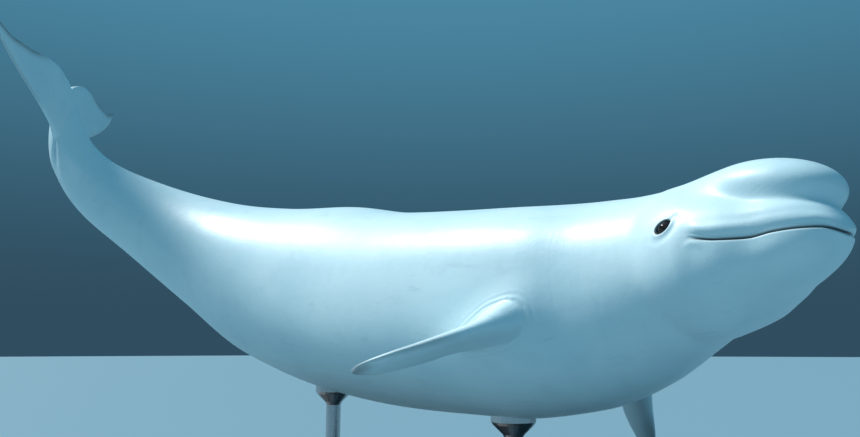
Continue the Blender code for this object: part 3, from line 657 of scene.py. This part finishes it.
class Thread:
    """A value running through a finish's nodes; sums of threads and numbers add Math nodes."""

    def __init__(self, tree, socket=None):
        self.tree, self.socket = tree, socket

    def node(self, kind, settings=None, sockets=None, out=0):
        """A node of that kind, its settings made first, then its sockets' values or links."""
        made = self.tree.nodes.new(kind)
        for word, value in (settings or {}).items():
            setattr(made, word, value)
        for word, value in (sockets or {}).items():
            found = made.inputs[word] if isinstance(word, int) else next(
                s for s in made.inputs if word in (s.identifier, s.name) and s.enabled)
            if isinstance(value, Thread):
                self.tree.links.new(value.socket, found)
            else:
                found.default_value = value
        outputs = [s for s in made.outputs if s.enabled] if isinstance(out, int) else made.outputs
        return Thread(self.tree, outputs[out])

    def maths(self, operation, *values):
        """One Math node of that operation."""
        return self.node("ShaderNodeMath", {"operation": operation}, dict(enumerate(values)))

    def __add__(self, other):
        return self.maths("ADD", self, other)

    __radd__ = __add__

    def __sub__(self, other):
        return self.maths("SUBTRACT", self, other)

    def __rsub__(self, other):
        return self.maths("SUBTRACT", other, self)

    def __mul__(self, other):
        return self.maths("MULTIPLY", self, other)

    __rmul__ = __mul__

    def between(self, low, high):
        """Zero below low, one above high, smooth between."""
        return self.node("ShaderNodeMapRange", {"interpolation_type": "SMOOTHSTEP"}, {
            "Value": self, "From Min": low, "From Max": high, "To Min": 0.0, "To Max": 1.0})

    def tint(self, share, under, over):
        """The colour over laid on the colour under by that share."""
        return self.node("ShaderNodeMix", {"data_type": "RGBA", "clamp_factor": True},
                         {"Factor_Float": share, "A_Color": under, "B_Color": over})

    def mark(self, label, out="Fac"):
        """What is kept at the mesh's points under that label."""
        return self.node("ShaderNodeAttribute", {"attribute_name": label}, out=out)

    def stretched(self, place, scale, turned=(0.0, 0.0, 0.0)):
        """The place turned, and scaled along each way."""
        return self.node("ShaderNodeMapping", None,
                         {"Vector": place, "Rotation": turned, "Scale": scale})

    def noise(self, place, scale, detail, **more):
        """Cloudy noise over a place, and its further sockets by name."""
        return self.node("ShaderNodeTexNoise", None,
                         {"Vector": place, "Scale": scale, "Detail": detail, **more})

    def bump(self, height, strength, distance):
        """The surface's normal over that height."""
        return self.node("ShaderNodeBump", None,
                         {"Strength": strength, "Distance": distance, "Height": height})


def finish(name, roughness, metallic=0.0):
    """A material with one Principled surface: the start thread, and the surface's node."""
    made = bpy.data.materials.new(name)
    made.use_nodes = True
    surface = made.node_tree.nodes["Principled BSDF"]
    surface.inputs["Roughness"].default_value = roughness
    surface.inputs["Metallic"].default_value = metallic
    return made, Thread(made.node_tree), surface


def lay(thread, surface, **sockets):
    """Links threads to the surface's sockets."""
    for word, value in sockets.items():
        thread.tree.links.new(value.socket, surface.inputs[word.replace("_", " ")])


def keep_marks(mesh, **marks):
    """Keeps each value at the mesh's points under its label."""
    for label, values in marks.items():
        mark = mesh.attributes.new(label, "FLOAT", "POINT")
        mark.data.foreach_set("value", values.astype(np.float32))


# Marks kept at the hide's points: painted shade in the mouth's slit, the blowhole and the lids,
# how far a flipper's root is, how near a fin's edge or tip, and the place on the straight whale.
# How wide the painted shade runs at the mouth's slit, the blowhole and the lids' openings, and
# where it fades
DARK_SLIT = 0.0036
DARK_CORNER_FADE = (-0.010, 0.012)
DARK_HOLE = 0.0050
DARK_HOLE_ENDS = (0.022, 0.030)
DARK_LIDS = (0.98, 1.30)
FIN_SKIN = 0.012
RIM_STARTS = (0.30, 0.55)
RIM_BEHIND = 0.020
RIM_AHEAD = 0.010
TIP_STARTS = {"right": 0.86, "left": 0.86, "flukes": 0.93}
room_points = read_points(hide.data)
straight = straightened(room_points)
s, y, z = straight.T
in_eye = np.minimum(lids(straight, 1)[0], lids(straight, -1)[0])
unswayed = z - (sway(straight)[:, 2] - z)
at_mouth = 1 - fade(s, MOUTH_CORNER + DARK_CORNER_FADE[0], MOUTH_CORNER + DARK_CORNER_FADE[1])
slit = bell(unswayed - MOUTH_Z, DARK_SLIT) * at_mouth
hole = bell(past_blowhole(s, y), DARK_HOLE) * (1 - fade(np.abs(y), *DARK_HOLE_ENDS)) * (z > 0)
# Painted shade: the mouth's slit, the blowhole and the lids' openings are darkened where shade
# falls in them
crease = np.maximum(np.maximum(slit, hole), 1 - fade(in_eye, *DARK_LIDS))
root_away = np.minimum(FINS["right"].distance(room_points), FINS["left"].distance(room_points))
edge = np.zeros(len(s))
for word, fin in FINS.items():
    rel = (room_points - fin.base) @ fin.axes
    out = np.abs(rel[:, 0]) / fin.outer
    within = (fin.distance(room_points) < FIN_SKIN) * fade(out, *RIM_STARTS)
    behind = fin.trailing(rel[:, 0]) - rel[:, 1]
    ahead = rel[:, 1] - fin.leading(rel[:, 0])
    rim = np.maximum(
        bell(np.maximum(behind, 0), RIM_BEHIND), 0.5 * bell(np.maximum(ahead, 0), RIM_AHEAD))
    tip = fade(out, TIP_STARTS[word], 1.0)
    edge = np.maximum(edge, within * np.maximum(rim, tip))
keep_marks(hide.data, crease=crease, root_away=root_away, edge=edge)
mark = hide.data.attributes.new("straight", "FLOAT_VECTOR", "POINT")
mark.data.foreach_set("vector", straight.astype(np.float32).ravel())

# The hide's finish: white with a painted cool cast that stands in for bluish light, faintly
# clouded and scratched, painted shade in the mouth's slit, the blowhole and the lids, darker grey
# along the fins' edges, with pores, ripples, lines at the neck and folds by the flippers.
# The first four tones are tinted cyan, a painted cast that stands in for bluish light; the hide
# itself is white
WHITE_WITH_PAINTED_CAST = (0.70, 0.88, 0.92, 1.0)
CLOUDED = (0.55, 0.78, 0.86, 1.0)
BLOTCHED = (0.52, 0.70, 0.77, 1.0)
SCRATCHED = (0.47, 0.64, 0.71, 1.0)
EDGE_GREY = (0.16, 0.15, 0.15, 1.0)
# The colour of the painted shade in the mouth's slit, the blowhole and the lids
PAINTED_CREASE_SHADE = (0.030, 0.032, 0.040, 1.0)
ROOT_FOLD_RATE = 460.0
hide_look, hide_thread, hide_surface = finish("white_hide", 0.40)
place = hide_thread.node("ShaderNodeTexCoord", out="Object")
creased = hide_thread.mark("crease")
away = hide_thread.mark("root_away")
at_edge = hide_thread.mark("edge")
on_whale = hide_thread.mark("straight", "Vector")
clouds = hide_thread.noise(place, 2.4, 5.0, Roughness=0.6)
blotch = hide_thread.noise(place, 11.0, 4.0, Roughness=0.6)
pores = hide_thread.noise(place, 210.0, 3.0, Roughness=0.6)
ripples = hide_thread.noise(place, 28.0, 4.0, Roughness=0.55)
across_neck = hide_thread.stretched(on_whale, (60.0, 5.0, 5.0))
neck_lines = hide_thread.noise(across_neck, 1.0, 3.0, Distortion=0.4)
length = hide_thread.node("ShaderNodeSeparateXYZ", None, {"Vector": on_whale})
at_neck = length.between(0.40, 0.50) * (1 - length.between(0.62, 0.86))
combed = hide_thread.stretched(place, (1.6, 34.0, 20.0), (0.3, 0.5, 0.4))
scratches = hide_thread.noise(combed, 2.0, 2.0, Distortion=0.2)
root_folds = hide_thread.maths("SINE", away * ROOT_FOLD_RATE + ripples * 4.0)
at_root = away.between(0.003, 0.010) * (1 - away.between(0.022, 0.046))
tone = hide_thread.tint(clouds.between(0.38, 0.72) * 0.6, WHITE_WITH_PAINTED_CAST, CLOUDED)
tone = hide_thread.tint(blotch.between(0.52, 0.80) * 0.35, tone, BLOTCHED)
tone = hide_thread.tint(scratches.between(0.66, 0.74) * 0.25, tone, SCRATCHED)
tone = hide_thread.tint(at_edge * (0.45 + blotch * 0.5), tone, EDGE_GREY)
# Painted shade laid over the mouth's slit, the blowhole and the lids
tone = hide_thread.tint(creased * 0.94, tone, PAINTED_CREASE_SHADE)
height = pores * 0.10 + ripples * 0.45 + at_neck * neck_lines * 0.4 + at_root * root_folds * 0.30
lay(hide_thread, hide_surface, Base_Color=tone, Roughness=0.38 + ripples * 0.14,
    Normal=hide_thread.bump(height, 0.35, 0.005))
hide_surface.inputs["Coat Weight"].default_value = 0.15
hide_surface.inputs["Coat Roughness"].default_value = 0.30
hide.data.materials.clear()
hide.data.materials.append(hide_look)
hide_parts("head", "lower_jaw", "neck", "chest", "abdomen", "tail_base", "tail_stock",
            "flipper_left", "flipper_right", "fluke_left", "fluke_right")
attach(hide, "root")

# The eyes: small dark balls with a clear domed front over a brown iris and a wide oval pupil,
# set in the lids' openings.
DOME = {"height": 0.0014, "half_width": 0.42}
PUPIL_HALF = (0.0052, 0.0036)
PUPIL_BLACK = (0.003, 0.003, 0.004, 1.0)
IRIS_DARK = (0.016, 0.009, 0.007, 1.0)
IRIS_BROWN = (0.040, 0.021, 0.014, 1.0)
RIM_DARK = (0.020, 0.014, 0.014, 1.0)
eye_look, eye_thread, eye_surface = finish("dark_wet_eye", 0.16)
pupil = eye_thread.mark("pupil")
iris = eye_thread.tint(eye_thread.mark("rays"), IRIS_DARK, IRIS_BROWN)
tone = eye_thread.tint(pupil.between(0.85, 1.15), PUPIL_BLACK, iris)
tone = eye_thread.tint(pupil.between(2.0, 2.5), tone, RIM_DARK)
lay(eye_thread, eye_surface, Base_Color=tone)
eye_surface.inputs["Specular IOR Level"].default_value = 0.30
eye_surface.inputs["Coat Weight"].default_value = 0.25
eye_surface.inputs["Coat Roughness"].default_value = 0.06

# The ball, looking along its own third axis: rings that crowd at the iris, and two poles
polar = crowded(0.03, math.pi - 0.05, 46, [(0.35, 0.25, 2.0)])[:, None]
spun = np.linspace(0, 2 * math.pi, 64, endpoint=False)
swelled = EYE_RADIUS + DOME["height"] * bell(polar, DOME["half_width"])
front = EYE_RADIUS + DOME["height"]
ball = np.concatenate([
    [[0, 0, front]],
    np.stack([
        swelled * (np.cos(spun) * np.sin(polar)),
        swelled * (np.sin(spun) * np.sin(polar)),
        swelled * (np.cos(polar) + 0 * spun),
    ], -1).reshape(-1, 3),
    [[0, 0, -EYE_RADIUS]],
])
k = np.arange(len(spun))
last = 1 + (len(polar) - 1) * len(spun)
ball_faces = ring_faces(len(polar), len(spun), 1).tolist()
ball_faces += np.stack([0 * k, 1 + k, 1 + (k + 1) % len(spun)], -1).tolist()
ball_faces += np.stack([0 * k + len(ball) - 1, last + (k + 1) % len(spun), last + k], -1).tolist()
oval = np.hypot(ball[:, 0] / PUPIL_HALF[0], ball[:, 1] / PUPIL_HALF[1])
oval += np.where(ball[:, 2] < 0, OTHER_SIDE, 0.0)
round_iris = np.arctan2(ball[:, 1], ball[:, 0])
streaks = 0.5 + 0.5 * np.sin(round_iris * 31) * np.sin(round_iris * 17)
for side, word in ((-1, "right"), (1, "left")):
    skin, along, across, outward = EYES[side]
    points = to_room(skin - outward * EYE_DEPTH + ball @ np.stack([along, across, outward]))
    eye = skin_mesh("eyeball_" + word, points, ball_faces)
    if ((points - points.mean(0)) * read_points(eye.data, True)).sum() < 0:
        eye.data.flip_normals()
    eye.data.shade_smooth()
    keep_marks(eye.data, pupil=oval, rays=streaks)
    eye.data.materials.append(eye_look)
    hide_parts("eye_" + word)
    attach(eye, "root")

# The stand: a flat plate painted dark, and two short turned steel posts under the belly. They
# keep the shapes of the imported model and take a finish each.
PAINT_TONES = ((0.040, 0.046, 0.052, 1.0), (0.060, 0.066, 0.072, 1.0))
STEEL_TONES = ((0.46, 0.47, 0.49, 1.0), (0.62, 0.63, 0.64, 1.0))
paint, paint_thread, paint_surface = finish("dark_stand_paint", 0.45)
paint_place = paint_thread.node("ShaderNodeTexCoord", out="Object")
speckle = paint_thread.noise(paint_place, 420.0, 2.0)
wear = paint_thread.noise(paint_place, 5.0, 5.0)
paint_tone = paint_thread.tint(wear.between(0.35, 0.75), *PAINT_TONES)
lay(paint_thread, paint_surface, Base_Color=paint_tone, Roughness=0.36 + wear * 0.18,
    Normal=paint_thread.bump(speckle, 0.25, 0.0006))
steel, steel_thread, steel_surface = finish("turned_steel", 0.28, 1.0)
steel_place = steel_thread.node("ShaderNodeTexCoord", out="Object")
lathe_way = steel_thread.stretched(steel_place, (3.0, 3.0, 900.0))
lathe_rings = steel_thread.noise(lathe_way, 1.0, 2.0)
steel_tone = steel_thread.tint(lathe_rings, *STEEL_TONES)
lay(steel_thread, steel_surface, Base_Color=steel_tone, Roughness=0.22 + lathe_rings * 0.14,
    Normal=steel_thread.bump(lathe_rings, 0.2, 0.0004))
for node, look in (("stand_base", paint), ("stand_rod_front", steel), ("stand_rod_rear", steel)):
    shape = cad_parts[node].data
    if shape.materials:
        shape.materials[0] = look
    else:
        shape.materials.append(look)

# The room: a plain pale floor that runs to the horizon, and soft light. The main light comes
# from high over the tail, a little to the viewer's side; a cool sky and the floor fill the shade.
FLOOR_HALF = 80.0
FLOOR_TONE = (0.20, 0.34, 0.41, 1.0)
SKY_LOW = (0.030, 0.075, 0.115, 1.0)
SKY_HIGH = (0.08, 0.28, 0.42, 1.0)
LAMPS = [
    {"name": "key", "from": (-0.58, -0.25, 0.77), "strength": 3.8, "spread": 18.0,
     "tone": (0.98, 1.0, 0.98)},
    {"name": "front_fill", "from": (0.45, -0.85, 0.25), "strength": 0.05, "spread": 60.0,
     "tone": (0.75, 0.92, 1.0)},
]
corners = FLOOR_HALF * np.array([(-1, -1, 0), (1, -1, 0), (1, 1, 0), (-1, 1, 0)])
floor = skin_mesh("floor", corners, [(0, 1, 2, 3)])
floor_look, _, floor_surface = finish("pale_floor", 0.80)
floor_surface.inputs["Base Color"].default_value = FLOOR_TONE
floor.data.materials.append(floor_look)
sky = bpy.data.worlds.new("soft_room")
sky.use_nodes = True
background = sky.node_tree.nodes["Background"]
sky_thread = Thread(sky.node_tree)
sky_way = sky_thread.node("ShaderNodeTexCoord", out="Generated")
upward = sky_thread.node("ShaderNodeSeparateXYZ", None, {"Vector": sky_way}, out="Z")
sky_tone = sky_thread.tint(upward.between(0.04, 0.60), SKY_LOW, SKY_HIGH)
sky.node_tree.links.new(sky_tone.socket, background.inputs["Color"])
background.inputs["Strength"].default_value = 1.0
bpy.context.scene.world = sky
for lamp in LAMPS:
    sun = bpy.data.lights.new(lamp["name"], "SUN")
    sun.energy = lamp["strength"]
    sun.angle = math.radians(lamp["spread"])
    sun.color = lamp["tone"]
    hung = bpy.data.objects.new(lamp["name"], sun)
    way = np.array(lamp["from"]) / np.linalg.norm(lamp["from"])
    hung.rotation_euler = (math.acos(way[2]), 0.0, math.atan2(way[1], way[0]) + math.pi / 2)
    bpy.context.scene.collection.objects.link(hung)
bpy.context.scene.view_settings.view_transform = "Standard"
